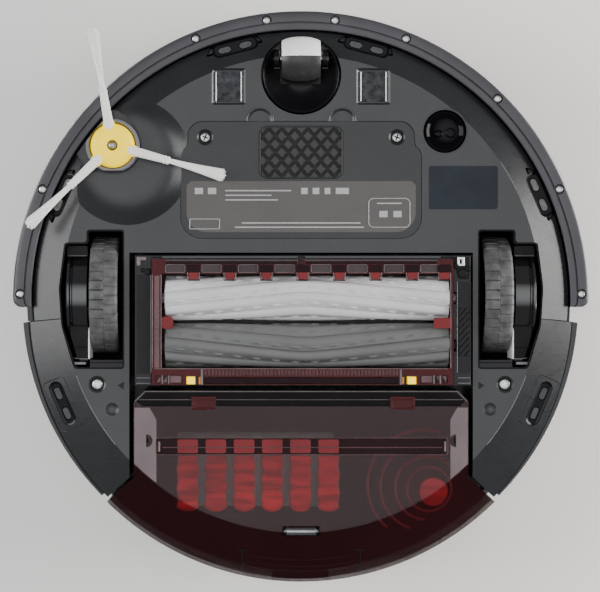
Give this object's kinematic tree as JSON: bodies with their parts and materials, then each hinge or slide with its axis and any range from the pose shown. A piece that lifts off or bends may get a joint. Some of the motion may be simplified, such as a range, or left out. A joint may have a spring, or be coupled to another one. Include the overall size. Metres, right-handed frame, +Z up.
{
  "type": "robot vacuum cleaner",
  "caption": "Round robot vacuum with sprung bumper, drive wheels, swivel caster, side brush, counter-rotating rubber rollers in a hinged frame, pull-out dust bin and lifting handle.",
  "frame": {"origin": "middle of the machine in plan, on the floor its wheels stand on", "axes": "+Z up, -Y towards the bumper (forwards), +Y towards the dust bin, +X towards the machine's right-hand wheel as seen from below with the bumper up"},
  "size_m": [0.3512, 0.3485, 0.0914],
  "materials": {
    "graphite_plastic": "fine-grained satin moulding",
    "black_plastic": "satin black moulding",
    "bumper_plastic": "matt grey moulding",
    "dark_window": "glossy infrared-clear black",
    "tyre_rubber": "matt moulded rubber",
    "steel": "plated steel",
    "red_translucent": "clear dark red, glossy",
    "yellow_plastic": "satin yellow",
    "white_plastic": "ivory white",
    "filter_paper": "pleated filter medium",
    "circuit_board": "green solder mask",
    "battery_wrap": "wrapped battery cells",
    "roller_light": "light grey moulded rubber",
    "roller_dark": "mid grey moulded rubber"
  },
  "bodies": {
    "body": {"bottom_chassis": "graphite_plastic", "top_shell": "graphite_plastic", "faceplate": "black_plastic", "camera_lens": "dark_window", "ir_receiver": "dark_window", "battery_cover": "graphite_plastic", "grip_pad": "tyre_rubber", "battery_pack": "battery_wrap", "cover_screw_left": "steel", "cover_screw_right": "steel", "main_circuit_board": "circuit_board", "side_brush_motor": "black_plastic", "floor_sensor_lens": "dark_window", "charge_contact_left": "steel", "charge_contact_right": "steel", "cliff_window_front_left": "dark_window", "cliff_window_front_right": "dark_window", "cliff_window_side_left": "dark_window", "cliff_window_side_right": "dark_window", "cliff_window_rear_left": "dark_window", "cliff_window_rear_right": "dark_window", "bumper_spring_left": "steel", "bumper_spring_right": "steel", "suspension_spring_left": "steel", "suspension_spring_right": "steel"},
    "bumper": {"bumper": "bumper_plastic", "bumper_window": "dark_window"},
    "side_brush": {"brush_hub": "yellow_plastic", "brush_arm_1": "white_plastic", "brush_arm_2": "white_plastic", "brush_arm_3": "white_plastic", "brush_screw": "steel"},
    "caster_fork": {"caster_turret": "black_plastic", "caster_axle": "steel"},
    "caster_roller": {"caster_wheel": "white_plastic"},
    "drive_arm_left": {"wheel_arm_left": "black_plastic", "wheel_motor_left": "steel"},
    "drive_arm_right": {"wheel_arm_right": "black_plastic", "wheel_motor_right": "steel"},
    "drive_wheel_left": {"wheel_left": "black_plastic", "tyre_left": "tyre_rubber"},
    "drive_wheel_right": {"wheel_right": "black_plastic", "tyre_right": "tyre_rubber"},
    "cleaning_head": {"head_deck": "black_plastic", "head_motor": "steel"},
    "frame": {"roller_frame": "red_translucent"},
    "tab_left": {"release_tab_left": "yellow_plastic"},
    "tab_right": {"release_tab_right": "yellow_plastic"},
    "roller_front": {"front_roller": "roller_light"},
    "roller_rear": {"rear_roller": "roller_dark"},
    "dust_bin": {"bin_shell": "red_translucent", "bin_door": "black_plastic", "bin_filter": "filter_paper"},
    "fan": {"fan_impeller": "bumper_plastic"},
    "bin_support_roller": {"bin_roller": "steel"},
    "bin_button": {"bin_release_button": "bumper_plastic"},
    "clean_key": {"clean_button": "steel"},
    "home_key": {"home_button": "bumper_plastic"},
    "spot_key": {"spot_button": "bumper_plastic"},
    "handle": {"carry_handle": "bumper_plastic"}
  },
  "joints": [
    {"name": "bumper_push", "type": "slide", "parent": "body", "child": "bumper", "axis": [0, 1, 0], "range_m": [0, 0.003], "stiffness_N_per_m": 600, "springref_m": -0.004, "deforming": ["bumper_spring_left", "bumper_spring_right"]},
    {"name": "side_brush_spin", "type": "hinge", "parent": "body", "child": "side_brush", "pos_m": [-0.1143, -0.0915, 0.007], "axis": [0, 0, 1], "continuous": true, "deforming": ["brush_arm_1", "brush_arm_2", "brush_arm_3"]},
    {"name": "caster_swivel", "type": "hinge", "parent": "body", "child": "caster_fork", "pos_m": [0, -0.1347, 0.011], "axis": [0, 0, 1], "continuous": true},
    {"name": "caster_roll", "type": "hinge", "parent": "caster_fork", "child": "caster_roller", "pos_m": [0, -0.1444, 0.0134], "axis": [1, 0, 0], "continuous": true},
    {"name": "suspension_left", "type": "hinge", "parent": "body", "child": "drive_arm_left", "pos_m": [-0.1196, 0.038, 0.024], "axis": [1, 0, 0], "range_deg": [0, 20], "stiffness_Nm_per_rad": 0.3, "springref_deg": 57.3, "deforming": ["suspension_spring_left"]},
    {"name": "suspension_right", "type": "hinge", "parent": "body", "child": "drive_arm_right", "pos_m": [0.1196, 0.038, 0.024], "axis": [1, 0, 0], "range_deg": [0, 20], "stiffness_Nm_per_rad": 0.3, "springref_deg": 57.3, "deforming": ["suspension_spring_right"]},
    {"name": "wheel_spin_left", "type": "hinge", "parent": "drive_arm_left", "child": "drive_wheel_left", "pos_m": [-0.1196, -0.0009, 0.036], "axis": [1, 0, 0], "continuous": true},
    {"name": "wheel_spin_right", "type": "hinge", "parent": "drive_arm_right", "child": "drive_wheel_right", "pos_m": [0.1196, -0.0009, 0.036], "axis": [1, 0, 0], "continuous": true},
    {"name": "head_float", "type": "slide", "parent": "body", "child": "cleaning_head", "axis": [0, 0, 1], "range_m": [0, 0.005]},
    {"name": "frame_open", "type": "hinge", "parent": "cleaning_head", "child": "frame", "pos_m": [0, -0.0201, 0.0064], "axis": [-1, 0, 0], "range_deg": [0, 90]},
    {"name": "tab_left_press", "type": "slide", "parent": "frame", "child": "tab_left", "axis": [1, 0, 0], "range_m": [0, 0.002], "stiffness_N_per_m": 300, "springref_m": -0.002},
    {"name": "tab_right_press", "type": "slide", "parent": "frame", "child": "tab_right", "axis": [-1, 0, 0], "range_m": [0, 0.002], "stiffness_N_per_m": 300, "springref_m": -0.002},
    {"name": "front_roller_spin", "type": "hinge", "parent": "cleaning_head", "child": "roller_front", "pos_m": [0, 0.0009, 0.0162], "axis": [1, 0, 0], "continuous": true},
    {"name": "rear_roller_spin", "type": "hinge", "parent": "cleaning_head", "child": "roller_rear", "pos_m": [0, 0.0297, 0.0162], "axis": [1, 0, 0], "continuous": true},
    {"name": "bin_slide", "type": "slide", "parent": "body", "child": "dust_bin", "axis": [0, 1, 0], "range_m": [0, 0.12]},
    {"name": "fan_spin", "type": "hinge", "parent": "dust_bin", "child": "fan", "pos_m": [0.072, 0.112, 0.03], "axis": [0, 0, 1], "continuous": true},
    {"name": "bin_roller_spin", "type": "hinge", "parent": "dust_bin", "child": "bin_support_roller", "pos_m": [0, 0.1424, 0.0114], "axis": [1, 0, 0], "continuous": true},
    {"name": "bin_button_press", "type": "slide", "parent": "dust_bin", "child": "bin_button", "axis": [0, -1, 0], "range_m": [0, 0.0025], "stiffness_N_per_m": 800, "springref_m": -0.002},
    {"name": "clean_button_press", "type": "slide", "parent": "body", "child": "clean_key", "axis": [0, 0, -1], "range_m": [0, 0.0008], "stiffness_N_per_m": 2000, "springref_m": -0.001},
    {"name": "home_button_press", "type": "slide", "parent": "body", "child": "home_key", "axis": [0, 0, -1], "range_m": [0, 0.0008], "stiffness_N_per_m": 1500, "springref_m": -0.001},
    {"name": "spot_button_press", "type": "slide", "parent": "body", "child": "spot_key", "axis": [0, 0, -1], "range_m": [0, 0.0008], "stiffness_N_per_m": 1500, "springref_m": -0.001},
    {"name": "handle_lift", "type": "hinge", "parent": "body", "child": "handle", "pos_m": [0, 0.036, 0.0863], "axis": [1, 0, 0], "range_deg": [0, 90]}
  ],
  "couplings": [
    {"joint": "rear_roller_spin", "follows": "front_roller_spin", "ratio": -1}
  ]
}
